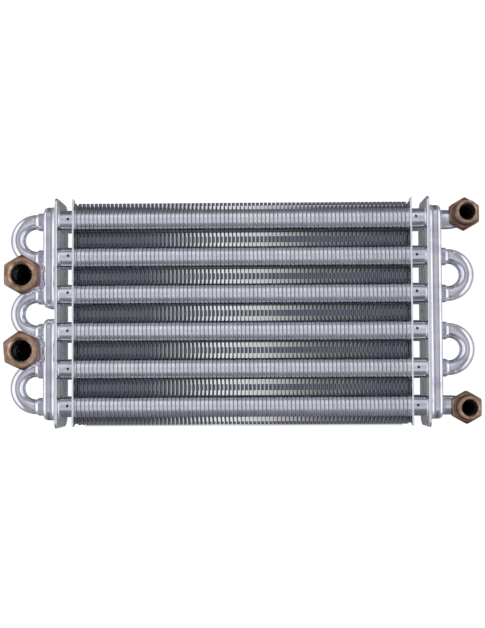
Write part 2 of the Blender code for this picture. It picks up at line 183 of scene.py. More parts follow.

# Painted shade in the hollows: a spot is full as far as the core share below of its radius, and a hollow is
# (depth below the face, radius)
HOLLOW_SHADE = (0.012, 0.010, 0.010)
SPOT_CORE = 0.85
HEATING_HOLLOW = (0.0100, 0.0114)
HOT_HOLLOW = (0.0095, 0.0086)
# Radii of the painted highlight round each fitting's mouth
HEATING_HIGHLIGHT = 0.0118
HOT_HIGHLIGHT = 0.0084
PIPE_CORE = 0.98
PIPE_SPOTS = 4
PIPE_SPOT_SPACING = 0.5

# Where a noise texture spends most of its range, and a colour mix node's sockets
NOISE_LOW = 0.3
NOISE_HIGH = 0.7
MIX_FIRST = 6
MIX_SECOND = 7
MIX_RESULT = 2

# Camera and light
CAMERA_TILT = math.radians(-2.7228)
CAMERA_YAW = math.radians(-0.9434)
CAMERA_ROLL = math.radians(0.2813)
CAMERA_PIVOT = Vector((0, 0, 0.040))
CAMERA_OFFSET = Vector((-0.00015, 0.00107, 0))
CAMERA_DISTANCE = 0.84646
CAMERA_LENS = 72.65
FLOOR_HALF_SIZE = 4.0
FLOOR_GLOW = 1.05
FLOOR_TINT = (0.97, 1.0, 1.0, 1)
SHADE_GLOW = (0.80, 0.20)
SHADE_MIDDLE = -0.016
SHADE_REACH = 0.070
SHADE_HALF_SIZE = (0.1110, 0.0775)
SHADE_EDGE = 0.002
SKY_TINT = (1.0, 1.0, 1.06)
SKY_ACROSS = (
    (-180, 0.14), (-100, 0.15), (-60, 0.17), (-44, 0.24), (-32, 0.60), (-22, 0.72),
    (-5, 0.60), (15, 0.60), (32, 0.80), (48, 0.86), (58, 0.66), (68, 0.28), (90, 0.14), (180, 0.14),
)
SKY_DARK_BAND = ((0.20, 0.30), 0.36)
SKY_BRIGHT_BAND = ((0.56, 0.66), 1.25)
SKY_LOW_BAND = 0.50
SKY_LOW_EDGE = 0.05


def node_middle(node):
    low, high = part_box(node)
    return (low + high) / 2


fins_low, fins_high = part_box("fin_pack")
FIN_PITCH = (fins_high.x - fins_low.x - FIN_SHEET) / (FIN_COUNT - 1)
tube_low, tube_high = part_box("outer_tube_1")
TUBE_END = tube_high.x
TUBE_RADIUS = (tube_high.y - tube_low.y) / 2
TUBE_STRAIGHT = (tube_high.z - tube_low.z) / 2 - TUBE_RADIUS
TUBE_HEIGHT = (tube_low.z + tube_high.z) / 2
TUBE_PLACES = [node_middle(f"outer_tube_{i + 1}").y for i in range(TUBE_COUNT)]
TUBE_PITCH = TUBE_PLACES[0] - TUBE_PLACES[1]
INNER_RADIUS = (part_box("inner_tube_1")[1].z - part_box("inner_tube_1")[0].z) / 2


class Surface:
    """The vertices and faces of one mesh, gathered loop by loop."""

    def __init__(self):
        self.points = []
        self.faces = []

    def loop(self, points):
        first = len(self.points)
        self.points.extend(points)
        return list(range(first, len(self.points)))

    def bridge(self, first, second):
        for i in range(len(first)):
            after = (i + 1) % len(first)
            self.faces.append((first[i], first[after], second[after], second[i]))

    def chain(self, loops, closed=False):
        for first, second in zip(loops, loops[1:]):
            self.bridge(first, second)
        if closed:
            self.bridge(loops[-1], loops[0])

    def fill(self, outline, holes=()):
        """A flat face across X, with convex holes: a triangle with all corners on one hole is in it."""
        corners = []
        edges = []
        for loop in (outline, *holes):
            first = len(corners)
            corners.extend(loop)
            edges.extend((first + i, first + (i + 1) % len(loop)) for i in range(len(loop)))
        flat = [Vector(self.points[corner][1:]) / MILLIMETRE for corner in corners]
        triangles = delaunay_2d_cdt(flat, edges, [], INSIDE_OUTLINE, FILL_LIMIT)[2]
        for triangle in triangles:
            face = [corners[i] for i in triangle]
            if not any(set(face) <= set(hole) for hole in holes):
                self.faces.append(face)


def add_piece(name, surface, material, slot, *nodes):
    """One visible piece that rides on the exchanger and stands for CAD nodes."""
    mesh = bpy.data.meshes.new(name)
    mesh.from_pydata(surface.points, [], surface.faces)
    shape = bmesh.new()
    shape.from_mesh(mesh)
    bmesh.ops.recalc_face_normals(shape, faces=shape.faces)
    shape.to_mesh(mesh)
    shape.free()
    mesh.shade_smooth()
    mesh.set_sharp_from_angle(angle=SHARP_ANGLE)
    mesh.materials.append(material)
    piece = bpy.data.objects.new(name, mesh)
    bpy.context.scene.collection.objects.link(piece)
    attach(piece, "root")
    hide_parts(*nodes)
    return piece


def at(x, outline):
    return [(x, y, z) for y, z in outline]


def oval(middle, grow, steps):
    """The outline of an outer tube in Y and Z, grown all round: two half circles and two flats."""
    radius = TUBE_RADIUS + grow
    points = []
    for half, centre in enumerate((TUBE_HEIGHT + TUBE_STRAIGHT, TUBE_HEIGHT - TUBE_STRAIGHT)):
        for step in range(steps + 1):
            angle = math.pi * (half + step / steps)
            points.append((middle + radius * math.cos(angle), centre + radius * math.sin(angle)))
    return points


def circle(middle, height, radius, sides=PIPE_SIDES):
    turns = [math.tau * i / sides for i in range(sides)]
    return [(middle + radius * math.cos(turn), height + radius * math.sin(turn)) for turn in turns]


def rounded_rectangle(middle, height, half_width, half_depth, burner_corner, flue_corner):
    """An outline in Y and Z with round corners of one radius above and another below."""
    points = []
    for quarter in range(4):
        side_y = 1 if quarter in (0, 3) else -1
        side_z = 1 if quarter in (0, 1) else -1
        corner = burner_corner if side_z > 0 else flue_corner
        centre_y = middle + side_y * (half_width - corner)
        centre_z = height + side_z * (half_depth - corner)
        for step in range(CORNER_STEPS + 1):
            angle = math.pi / 2 * (quarter + step / CORNER_STEPS)
            points.append((centre_y + corner * math.cos(angle), centre_z + corner * math.sin(angle)))
    return points


# ---------------------------------------------------------------- materials


class Nodes:
    """A node tree, built up in steps that each take sockets or plain numbers and give back a socket."""

    def __init__(self, tree):
        self.nodes = tree.nodes
        self.links = tree.links

    def feed(self, source, socket):
        if isinstance(source, bpy.types.NodeSocket):
            self.links.new(source, socket)
        else:
            socket.default_value = source

    def coordinates(self, kind):
        return self.nodes.new("ShaderNodeTexCoord").outputs[kind]

    def split(self, vector):
        node = self.nodes.new("ShaderNodeSeparateXYZ")
        self.links.new(vector, node.inputs["Vector"])
        return node.outputs

    def maths(self, operation, *sources):
        node = self.nodes.new("ShaderNodeMath")
        node.operation = operation
        for source, socket in zip(sources, node.inputs):
            self.feed(source, socket)
        return node.outputs["Value"]

    def spread(self, source, low, high, to_low=0, to_high=1):
        """Takes the stretch from low to high to the stretch from to_low to to_high, and stays in it."""
        node = self.nodes.new("ShaderNodeMapRange")
        self.links.new(source, node.inputs["Value"])
        for name, value in (
            ("From Min", low),
            ("From Max", high),
            ("To Min", to_low),
            ("To Max", to_high),
        ):
            node.inputs[name].default_value = value
        return node.outputs["Result"]

    def ramp(self, source, stops):
        node = self.nodes.new("ShaderNodeValToRGB")
        elements = node.color_ramp.elements
        while len(elements) < len(stops):
            elements.new(0.5)
        for element, (position, colour) in zip(elements, stops):
            element.position = position
            element.color = (*colour, 1)
        self.links.new(source, node.inputs["Fac"])
        return node.outputs["Color"]

    def between(self, factor, first, second):
        """A number from the first to the second."""
        node = self.nodes.new("ShaderNodeMix")
        self.feed(factor, node.inputs["Factor"])
        self.feed(first, node.inputs["A"])
        self.feed(second, node.inputs["B"])
        return node.outputs["Result"]

    def mix(self, factor, first, second, blend="MIX"):
        """A colour from the first to the second."""
        node = self.nodes.new("ShaderNodeMix")
        node.data_type = "RGBA"
        node.blend_type = blend
        self.feed(factor, node.inputs["Factor"])
        self.feed(first, node.inputs[MIX_FIRST])
        self.feed(second, node.inputs[MIX_SECOND])
        return node.outputs[MIX_RESULT]


class Metal(Nodes):
    """A metal's material, varied over the object's own space."""

    def __init__(self, name):
        self.material = bpy.data.materials.new(name)
        self.material.use_nodes = True
        super().__init__(self.material.node_tree)
        self.shader = self.nodes["Principled BSDF"]
        self.shader.inputs["Metallic"].default_value = 1
        self.place = self.coordinates("Object")

    def noise(self, scale, detail=4, stretch=(1, 1, 1)):
        mapping = self.nodes.new("ShaderNodeMapping")
        mapping.inputs["Scale"].default_value = stretch
        self.links.new(self.place, mapping.inputs["Vector"])
        texture = self.nodes.new("ShaderNodeTexNoise")
        texture.inputs["Scale"].default_value = scale
        texture.inputs["Detail"].default_value = detail
        self.links.new(mapping.outputs["Vector"], texture.inputs["Vector"])
        return texture.outputs["Fac"]

    def within(self, centre, radius):
        """1 near a place on the object, falling to 0 at a radius from it."""
        distance = self.nodes.new("ShaderNodeVectorMath")
        distance.operation = "DISTANCE"
        distance.inputs[1].default_value = centre
        self.links.new(self.place, distance.inputs[0])
        return self.spread(distance.outputs["Value"], radius, radius * SPOT_CORE)

    def spots(self, source, colour, places):
        """The source, turned to another colour around each (centre, radius)."""
        for centre, radius in places:
            source = self.mix(self.within(centre, radius), source, (*colour, 1))
        return source

    def colour(self, source):
        self.links.new(source, self.shader.inputs["Base Color"])

    def roughness(self, source, low, high):
        rough = self.spread(source, NOISE_LOW, NOISE_HIGH, low, high)
        self.links.new(rough, self.shader.inputs["Roughness"])

    def bump(self, source, height):
        bump = self.nodes.new("ShaderNodeBump")
        bump.inputs["Strength"].default_value = 1
        bump.inputs["Distance"].default_value = height
        self.links.new(source, bump.inputs["Height"])
        previous = self.shader.inputs["Normal"].links
        if previous:
            self.links.new(previous[0].from_socket, bump.inputs["Normal"])
        self.links.new(bump.outputs["Normal"], self.shader.inputs["Normal"])


def punch_marks():
    """(tube number, place, depth) of the mark that holds each inner tube, at both ends of each outer one."""
    draw = random.Random(MARK_SEED)
    marks = []
    for number, middle in enumerate(TUBE_PLACES):
        for side in (LEFT, RIGHT):
            x = side * (MARK_PLACE + draw.uniform(-MARK_PLAY, MARK_PLAY))
            turn = math.radians(90 - draw.uniform(*MARK_DEGREES))
            y = middle + TUBE_RADIUS * math.cos(turn)
            z = TUBE_HEIGHT + TUBE_STRAIGHT + TUBE_RADIUS * math.sin(turn)
            marks.append((number, (x, y, z), MARK_DEPTH * draw.uniform(*MARK_DEPTH_SHARES)))
    return marks


def fitting_boxes(heating, hot):
    """Each fitting's middle, bottom and top, with the value that belongs to its kind."""
    fittings = []
    for words, value in (
        (("heating_fitting_upper", "heating_fitting_lower"), heating),
        (("hot_water_fitting_top", "hot_water_fitting_bottom"), hot),
    ):
        for word in words:
            low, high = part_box(word)
            fittings.append((node_middle(word), low.z, high.z, value))
    return fittings


def bore_places():
    """(centre, radius) of the painted shade in the hollow of each fitting."""
    return [
        ((middle.x, middle.y, top - depth), radius)
        for middle, _, top, (depth, radius) in fitting_boxes(HEATING_HOLLOW, HOT_HOLLOW)
    ]


def highlight_places():
    """(centre, radius) of the painted highlight, a lighter patch round each fitting's mouth, inside its
    duller hexagon.
    """
    return [
        ((middle.x, middle.y, top), radius)
        for middle, _, top, radius in fitting_boxes(HEATING_HIGHLIGHT, HOT_HIGHLIGHT)
    ]


def pipe_places():
    """(centre, radius) of the painted shade in each elbow's end, in spots no wider than its bore."""
    hollows = []
    for middle, bottom, _, bore in fitting_boxes(HEATING_PIPE_BORE, HOT_PIPE_BORE):
        radius = bore + PIPE_PLAY
        for step in range(PIPE_SPOTS):
            centre = (middle.x, middle.y, bottom - step * PIPE_SPOT_SPACING * radius)
            hollows.append((centre, radius / PIPE_CORE))
    return hollows


def tinned_copper(name, shaded_spots=()):
    """Dipped tin: bright, faintly lilac, with soft runs, duller stains and small pits."""
    metal = Metal(name)
    stain = metal.ramp(
        metal.noise(scale=90, detail=5, stretch=(0.5, 1, 1)),
        [(0.30, (0.60, 0.60, 0.68)), (0.50, (0.80, 0.80, 0.87)), (0.70, (0.88, 0.88, 0.93))],
    )
    # Painted shade: near-black spots in the hollows and dents that are given
    metal.colour(metal.spots(stain, HOLLOW_SHADE, shaded_spots))
    metal.roughness(metal.noise(scale=160, detail=5), 0.10, 0.24)
    metal.bump(metal.noise(scale=240, detail=3), height=0.00004)
    metal.bump(metal.noise(scale=1500, detail=2), height=0.000006)
    return metal.material


def fin_metal():
    """Tinned sheet: darker the deeper it lies, from dirt and from painted shade where little light reaches,
    with a band of painted shade on each collar beside its fin.
    """
    metal = Metal("fin_metal")
    tone = metal.ramp(
        metal.noise(scale=70, detail=5, stretch=(3, 1, 1)),
        [(0.30, (0.80, 0.81, 0.88)), (0.55, (0.92, 0.93, 0.99)), (0.75, (0.96, 0.96, 1.00))],
    )
    along, _, up = metal.split(metal.place)
    # Dirt and painted shade: the sheet darkens downwards between these heights, where little light reaches
    grime_and_shade = metal.ramp(
        metal.spread(up, FIN_GRIME_AND_SHADE_BOTTOM, FIN_GRIME_AND_SHADE_TOP),
        [(0, (0.34, 0.35, 0.39)), (0.33, (0.25, 0.26, 0.29)), (0.55, (0.50, 0.51, 0.55)), (1, (1, 1, 1))],
    )
    # Painted shade: a dark band along each collar just beside its fin, repeated at the fin pitch
    from_start = metal.maths("SUBTRACT", along, fins_low.x)
    painted_shade_band = metal.ramp(
        metal.maths("FRACT", metal.maths("DIVIDE", from_start, FIN_PITCH)),
        [
            (0.00, (0.95, 0.95, 0.95)), (0.18, (1, 1, 1)), (0.24, (0.30, 0.30, 0.32)),
            (0.38, (0.40, 0.40, 0.42)), (0.50, (0.95, 0.95, 0.96)), (1.00, (1, 1, 1)),
        ],
    )
    metal.colour(metal.mix(1, metal.mix(1, tone, grime_and_shade, "MULTIPLY"), painted_shade_band, "MULTIPLY"))
    metal.roughness(metal.noise(scale=220, detail=4), 0.18, 0.34)
    metal.bump(metal.noise(scale=600, detail=3), height=0.00002)
    return metal.material


def plate_steel():
    metal = Metal("plate_steel")
    tone = metal.ramp(
        metal.noise(scale=60, detail=6, stretch=(1, 1, 0.4)),
        [(0.30, (0.86, 0.91, 0.92)), (0.55, (0.93, 0.97, 0.98)), (0.75, (0.96, 0.99, 1.00))],
    )
    metal.colour(tone)
    metal.roughness(metal.noise(scale=180, detail=5), 0.18, 0.32)
    metal.bump(metal.noise(scale=900, detail=3, stretch=(1, 1, 0.3)), height=0.00001)
    return metal.material


def brass():
    """Dull red brass, with a painted highlight round the mouths and painted shade inside the bores."""
    metal = Metal("brass")
    tone = metal.ramp(
        metal.noise(scale=150, detail=6),
        [(0.28, (0.14, 0.07, 0.045)), (0.50, (0.25, 0.14, 0.095)), (0.72, (0.38, 0.24, 0.175))],
    )
    # Painted highlight: lighter brass round each mouth, for the light that the face catches
    painted_highlight = metal.ramp(
        metal.noise(scale=260, detail=5),
        [(0.30, (0.34, 0.20, 0.135)), (0.50, (0.50, 0.32, 0.22)), (0.70, (0.68, 0.50, 0.38))],
    )
    for centre, radius in highlight_places():
        tone = metal.mix(metal.within(centre, radius), tone, painted_highlight)
    # Painted shade: near-black spots inside the bores
    metal.colour(metal.spots(tone, HOLLOW_SHADE, bore_places()))
    metal.roughness(metal.noise(scale=320, detail=4), 0.26, 0.44)
    metal.bump(metal.noise(scale=900, detail=4), height=0.00003)
    return metal.material


def bare_copper():
    metal = Metal("bare_copper")
    tone = metal.ramp(
        metal.noise(scale=120, detail=5),
        [(0.30, (0.45, 0.20, 0.13)), (0.55, (0.75, 0.40, 0.28)), (0.75, (0.85, 0.52, 0.38))],
    )
    metal.colour(tone)
    metal.roughness(metal.noise(scale=260, detail=4), 0.25, 0.45)
    metal.bump(metal.noise(scale=700, detail=3), height=0.00002)
    return metal.material


PUNCH_MARKS = punch_marks()
TINNED = tinned_copper("tinned_copper")
# The elbows' tin carries painted shade down each end's bore
TINNED_ELBOW = tinned_copper("tinned_elbow", pipe_places())
# Painted shade round each punch mark on the tubes
TINNED_TUBE = tinned_copper("tinned_tube", [(place, MARK_SHADE_RADIUS) for _, place, _ in PUNCH_MARKS])
FIN_METAL = fin_metal()
PLATE_STEEL = plate_steel()
BRASS = brass()
BARE_COPPER = bare_copper()


# ---------------------------------------------------------------- fins


def fin_outline():
    """A fin's edge, with the index of each tab's first point: straight behind, a lobe over each tube."""
    low, high = fins_low, fins_high
    radius = TUBE_RADIUS + FIN_LIP
    centre = TUBE_HEIGHT + TUBE_STRAIGHT
    points = [(low.y, low.z), (high.y, low.z)]
    tabs = [len(points)]
    points += [(high.y, FIN_VALLEY), (high.y - TAB_HALF_WIDTH, FIN_VALLEY)]
    for place in TUBE_PLACES:
        for side in (RIGHT, LEFT):
            bend = [math.pi / 2 * step / VALLEY_STEPS for step in range(VALLEY_STEPS + 1)]
            if side < 0:
                for step in range(LOBE_STEPS + 1):
                    angle = math.pi * step / LOBE_STEPS
                    points.append((place + radius * math.cos(angle), centre + radius * math.sin(angle)))
                bend.reverse()
            edge = radius + VALLEY_ROUND
            for turn in bend:
                across = edge - VALLEY_ROUND * math.sin(turn)
                lift = VALLEY_ROUND * (1 - math.cos(turn))
                points.append((place + side * across, FIN_VALLEY + lift))
        if place != TUBE_PLACES[-1]:
            between = place - TUBE_PITCH / 2
            tabs.append(len(points))
            points += [(between + TAB_HALF_WIDTH, FIN_VALLEY), (between - TAB_HALF_WIDTH, FIN_VALLEY)]
    tabs.append(len(points))
    points += [(low.y + TAB_HALF_WIDTH, FIN_VALLEY), (low.y, FIN_VALLEY)]
    return points, tabs


def one_fin():
    """A single fin from x = 0, with its tabs and collars reaching almost to the next fin."""
    outline, tabs = fin_outline()
    fin = Surface()
    back = fin.loop(at(0, outline))
    front_outline = list(outline)
    for tab in tabs:
        for i in (tab, tab + 1):
            y, z = outline[i]
            front_outline[i] = (y, z - FIN_SHEET)
    front = fin.loop(at(FIN_SHEET, front_outline))
    for i in range(len(back)):
        after = (i + 1) % len(back)
        if i not in tabs:
            fin.faces.append((back[i], back[after], front[after], front[i]))
            continue
        reach = FIN_PITCH - TAB_GAP
        pair = (outline[i], outline[after])
        top = fin.loop([(reach, y, z) for y, z in pair])
        under = fin.loop([(reach, y, z - FIN_SHEET) for y, z in pair])
        fin.faces += [
            (back[i], back[after], top[1], top[0]),
            (top[0], top[1], under[1], under[0]),
            (under[0], under[1], front[after], front[i]),
            (back[i], top[0], under[0], front[i]),
            (back[after], front[after], under[1], top[1]),
        ]
    back_holes = []
    front_holes = []
    outside = COLLAR_CLEARANCE + COLLAR_WALL
    end = FIN_PITCH - COLLAR_GAP
    turns = [math.pi / 2 * step / COLLAR_ROOT_STEPS for step in range(COLLAR_ROOT_STEPS + 1)]
    root = [(COLLAR_ROOT * (1 - math.sin(turn)), COLLAR_ROOT * (1 - math.cos(turn))) for turn in turns]
    for place in TUBE_PLACES:
        steps = [(FIN_SHEET + along, outside + away) for away, along in root]
        steps += [(end, outside), (end, COLLAR_CLEARANCE), (0, COLLAR_CLEARANCE)]
        loops = [fin.loop(at(x, oval(place, grow, OVAL_STEPS))) for x, grow in steps]
        fin.chain(loops)
        front_holes.append(loops[0])
        back_holes.append(loops[-1])
    fin.fill(back, back_holes)
    fin.fill(front, front_holes)
    return fin


def valley_share(y, z):
    """1 in the open stretch between tubes and 0 at the tubes, so that only the free sheet is bent."""
    nearest = min(abs(y - place) for place in TUBE_PLACES)
    across = min(max((nearest - TUBE_RADIUS - COLLAR_ROOT) / (TUBE_PITCH / 2 - TUBE_RADIUS), 0), 1)
    return across if z < FIN_VALLEY + VALLEY_ROUND else 0


def add_fins():
    pattern = one_fin()
    shares = [valley_share(y, z) for _, y, z in pattern.points]
    fins = Surface()
    for number in range(FIN_COUNT):
        start = fins_low.x + number * FIN_PITCH
        last = number == FIN_COUNT - 1
        points = []
        for (x, y, z), share in zip(pattern.points, shares):
            reach = min(x, FIN_SHEET) if last else x
            wave = noise.noise(Vector((number * FIN_WAVE_STEP, y / FIN_WAVE_LENGTH, z / FIN_WAVE_LENGTH)))
            points.append((start + reach + share * FIN_WAVE * wave, y, z))
        first = len(fins.points)
        fins.points += points
        fins.faces += [tuple(first + i for i in face) for face in pattern.faces]
    add_piece("fins", fins, FIN_METAL, "fins", "fin_pack")


# ---------------------------------------------------------------- plates and tubes


def header_outline(low, high, inset):
    return rounded_rectangle(
        0,
        (low.z + high.z) / 2,
        high.y - inset,
        (high.z - low.z) / 2 - inset,
        HEADER_CORNER - inset,
        HEADER_FLUE_CORNER - inset,
    )


def side_outline(low, high, inset):
    """A rectangle with a small ear on each side along the burner edge."""
    width = high.y - SIDE_EAR - inset
    half = [
        (width, low.z + inset),
        (width, SIDE_EAR_BOTTOM - SIDE_EAR),
        (width + SIDE_EAR, SIDE_EAR_BOTTOM),
        (width + SIDE_EAR, high.z - inset),
    ]
    return half + [(-y, z) for y, z in reversed(half)]


def add_plate(name, outline, material):
    """A plate across the tubes, its edges eased, with a turned-out collar round each tube."""
    low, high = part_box(name)
    side = math.copysign(1, low.x)
    inner, outer = sorted((low.x, high.x), key=abs)
    plate = Surface()
    rims = [
        plate.loop(at(x, outline(low, high, inset)))
        for x, inset in (
            (outer, PLATE_EDGE),
            (outer - side * PLATE_EDGE, 0),
            (inner + side * PLATE_EDGE, 0),
            (inner, PLATE_EDGE),
        )
    ]
    plate.chain(rims)
    outer_holes = []
    inner_holes = []
    for place in TUBE_PLACES:
        steps = [(outer, COLLAR_CLEARANCE)]
        for reach, flare in PLATE_COLLAR_CURVE:
            steps.append((inner - side * PLATE_COLLAR * reach, COLLAR_CLEARANCE + PLATE_COLLAR * flare))
        loops = [plate.loop(at(x, oval(place, grow, TUBE_STEPS))) for x, grow in steps]
        plate.chain(loops)
        outer_holes.append(loops[0])
        inner_holes.append(loops[-1])
    plate.fill(rims[0], outer_holes)
    plate.fill(rims[-1], inner_holes)
    add_piece(name + "_sheet", plate, material, "plates", name)


def tube_stations():
    """Where an outer tube is cut along its length: finely in the two gaps, where it shows."""
    side_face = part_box("side_plate_right")[1].x
    header_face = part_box("header_plate_right")[0].x
    count = round((header_face - side_face) / GAP_STEP)
    fine = [side_face + (header_face - side_face) * i / count for i in range(count + 1)]
    half = fine + [TUBE_END]
    return [-x for x in reversed(half)] + half


def add_outer_tube(number):
    marks = [(place, depth) for marked, place, depth in PUNCH_MARKS if marked == number]
    tube = Surface()
    outer = []
    for x in tube_stations():
        points = []
        for y, z in oval(TUBE_PLACES[number], 0, TUBE_STEPS):
            for place, depth in marks:
                away = math.dist((x, y, z), place) / MARK_RADIUS
                z -= depth * math.exp(-away * away)
            points.append((x, y, z))
        outer.append(tube.loop(points))
    bore = oval(TUBE_PLACES[number], -TUBE_WALL, TUBE_STEPS)
    inner = [tube.loop(at(x, bore)) for x in (TUBE_END, -TUBE_END)]
    tube.chain(outer + inner, closed=True)
    name = f"outer_tube_{number + 1}"
    add_piece(name + "_wall", tube, TINNED_TUBE, "tinned_copper", name)


# ---------------------------------------------------------------- shells


def add_shell(name, places, port_node):
    """A pressed dish over some tube ends, with a flange, a rounded root and a rounded floor edge."""
    low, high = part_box(name)
    side = math.copysign(1, low.x)
    start, face = sorted((abs(low.x), abs(high.x)))
    middle_y = (low.y + high.y) / 2
    half_width = (high.y - low.y) / 2 - SHELL_FLANGE
    half_depth = (high.z - low.z) / 2 - SHELL_FLANGE
    middle_z = (low.z + high.z) / 2
    shell = Surface()

    def ring(x, inset_y, inset_z):
        corner = SHELL_CORNER - inset_z
        sizes = (half_width - inset_y, half_depth - inset_z)
        return shell.loop(at(side * x, rounded_rectangle(middle_y, middle_z, *sizes, corner, corner)))

    def rounding(floor, inset):
        loops = []
        for step in range(SHELL_ROUNDING_STEPS + 1):
            angle = math.pi / 2 * step / SHELL_ROUNDING_STEPS
            away = 1 - math.cos(angle)
            x = floor - SHELL_ROUNDING * (1 - math.sin(angle))
            loops.append(ring(x, inset + SHELL_END_INSET * away, inset + SHELL_SIDE_INSET * away))
        return loops

    root = []
    for step in range(SHELL_ROOT_STEPS + 1):
        angle = math.pi / 2 * step / SHELL_ROOT_STEPS
        rise = SHELL_ROOT * (1 - math.cos(angle))
        spread = SHELL_FLANGE * (1 - math.sin(angle))
        root.append(ring(start + SHELL_LIP + rise, -spread, -spread))
    outer = [ring(start, -SHELL_FLANGE, -SHELL_FLANGE), *root, *rounding(face, 0)]
    inner = [ring(start, SHELL_WALL, SHELL_WALL), *rounding(face - SHELL_WALL, SHELL_WALL)]
    shell.bridge(outer[0], inner[0])
    shell.chain(outer)
    shell.chain(inner)
    holes = [circle(place, TUBE_HEIGHT, INNER_RADIUS + FIT_GAP) for place in places]
    if port_node:
        port = node_middle(port_node)
        port_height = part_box(port_node)[0].z + HEATING_COLLAR_RADIUS
        holes.append(circle(port.y, port_height, HEATING_SPIGOT_RADIUS + FIT_GAP))
    floors = []
    for x, rim in ((face, outer[-1]), (face - SHELL_WALL, inner[-1])):
        edges = [shell.loop(at(side * x, hole)) for hole in holes]
        shell.fill(rim, edges)
        floors.append(edges)
    for first, second in zip(*floors):
        shell.bridge(first, second)
    add_piece(name + "_dish", shell, TINNED, "tinned_copper", name)


# ---------------------------------------------------------------- pipes


def add_pipe(name, stations, across, material, slot, node):
    """A hollow round pipe through stations of (place, direction, outer radius, bore radius)."""
    pipe = Surface()
    turns = [math.tau * i / PIPE_SIDES for i in range(PIPE_SIDES)]

    def ring(place, direction, radius):
        sideways = across.cross(direction)
        return pipe.loop(
            [place + radius * (math.cos(turn) * sideways + math.sin(turn) * across) for turn in turns]
        )

    outer = [ring(place, direction, radius) for place, direction, radius, _ in stations]
    inner = [ring(place, direction, bore) for place, direction, _, bore in stations]
    pipe.chain(outer + inner[::-1], closed=True)
    add_piece(name, pipe, material, slot, node)


def braze_steps(start, radius, bore):
    """(distance, radius, bore) up the braze round a socket's foot on the shell."""
    turns = [math.pi / 2 * step / BRAZE_STEPS for step in range(BRAZE_STEPS + 1)]
    return [
        (
            start + BRAZE_FILLET * (1 - math.cos(turn)),
            radius + BRAZE_FILLET * (1 - math.sin(turn)),
            bore,
        )
        for turn in turns
    ]


def socket_steps(start, end, bore):
    """(distance, radius, bore) from the shell, over the socket, smoothly down to the pipe."""
    socket_bore = INNER_RADIUS + PIPE_PLAY
    steps = braze_steps(start, SOCKET_RADIUS, socket_bore)
    for step in range(TAPER_STEPS + 1):
        share = step / TAPER_STEPS
        ease = share * share * (3 - 2 * share)
        distance = end - SOCKET_TAPER * (1 - share)
        radius = SOCKET_RADIUS + (INNER_RADIUS - SOCKET_RADIUS) * ease
        steps.append((distance, radius, socket_bore + (bore - socket_bore) * ease))
    return steps


def add_return_bend(name):
    low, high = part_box(name)
    side = math.copysign(1, low.x)
    near, far = sorted((abs(low.x), abs(high.x)))
    places = sorted(TUBE_PLACES, key=lambda place: abs(place - (low.y + high.y) / 2))[:2]
    upper, lower = max(places), min(places)
    radius = (upper - lower) / 2
    bend_start = far - radius - INNER_RADIUS
    bore = INNER_RADIUS - TUBE_WALL
    out = Vector((side, 0, 0))
    lead = socket_steps(near, bend_start, bore)
    stations = [
        (Vector((side * x, upper, TUBE_HEIGHT)), out, outer, inner) for x, outer, inner in lead
    ]
    centre = Vector((side * bend_start, (upper + lower) / 2, TUBE_HEIGHT))
    for step in range(1, BEND_STEPS):
        angle = math.pi * step / BEND_STEPS
        place = centre + radius * Vector((side * math.sin(angle), math.cos(angle), 0))
        direction = Vector((side * math.cos(angle), -math.sin(angle), 0))
        stations.append((place, direction, INNER_RADIUS, bore))
    for place, _, outer, inner in reversed(stations[: len(lead)]):
        stations.append((Vector((place.x, lower, place.z)), -out, outer, inner))
    add_pipe(name + "_pipe", stations, UP, TINNED, "tinned_copper", name)


def elbow(start, axis, top, bend_radius, radius, bore, drift):
    """The stations of a pipe that turns from sideways to up, drifting a little along Y."""
    side = math.copysign(1, axis)
    corner = Vector((axis - side * bend_radius, start.y, start.z + bend_radius))
    stations = []
    for step in range(ELBOW_STEPS + 1):
        angle = math.pi / 2 * step / ELBOW_STEPS
        place = corner + bend_radius * Vector((side * math.sin(angle), 0, -math.cos(angle)))
        place.y += drift * step / ELBOW_STEPS
        direction = Vector((side * math.cos(angle), 0, math.sin(angle)))
        stations.append((place, direction, radius, bore))
    stations.append((Vector((axis, start.y + drift, top)), UP, radius, bore))
    return stations


def add_heating_elbow(word):
    node = "heating_elbow_" + word
    low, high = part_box(node)
    place = (low.y + high.y) / 2
    axis = low.x + HEATING_PIPE_RADIUS
    port_height = low.z + HEATING_COLLAR_RADIUS
    collar_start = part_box("header_shell_left_upper")[0].x - FIT_GAP
    collar_end = collar_start - HEATING_COLLAR_LENGTH
    edge = HEATING_COLLAR_EDGE
    spigot = (HEATING_SPIGOT_RADIUS, HEATING_SPIGOT_BORE)
    lead = [
        (collar_start + HEATING_SPIGOT_LENGTH, *spigot),
        (collar_start, *spigot),
        (collar_start, HEATING_COLLAR_RADIUS - edge, HEATING_SPIGOT_BORE),
        (collar_start - edge, HEATING_COLLAR_RADIUS, HEATING_SPIGOT_BORE),
        (collar_end + edge, HEATING_COLLAR_RADIUS, HEATING_PIPE_BORE),
        (collar_end, HEATING_PIPE_RADIUS, HEATING_PIPE_BORE),
    ]
    out = Vector((LEFT, 0, 0))
    stations = [(Vector((x, place, port_height)), out, outer, inner) for x, outer, inner in lead]
    start = Vector((collar_end - PIPE_PLAY, place, port_height))
    sizes = (start.x - axis, HEATING_PIPE_RADIUS, HEATING_PIPE_BORE)
    stations += elbow(start, axis, high.z, *sizes, 0)
    add_pipe(node + "_pipe", stations, ACROSS, TINNED_ELBOW, "tinned_copper", node)


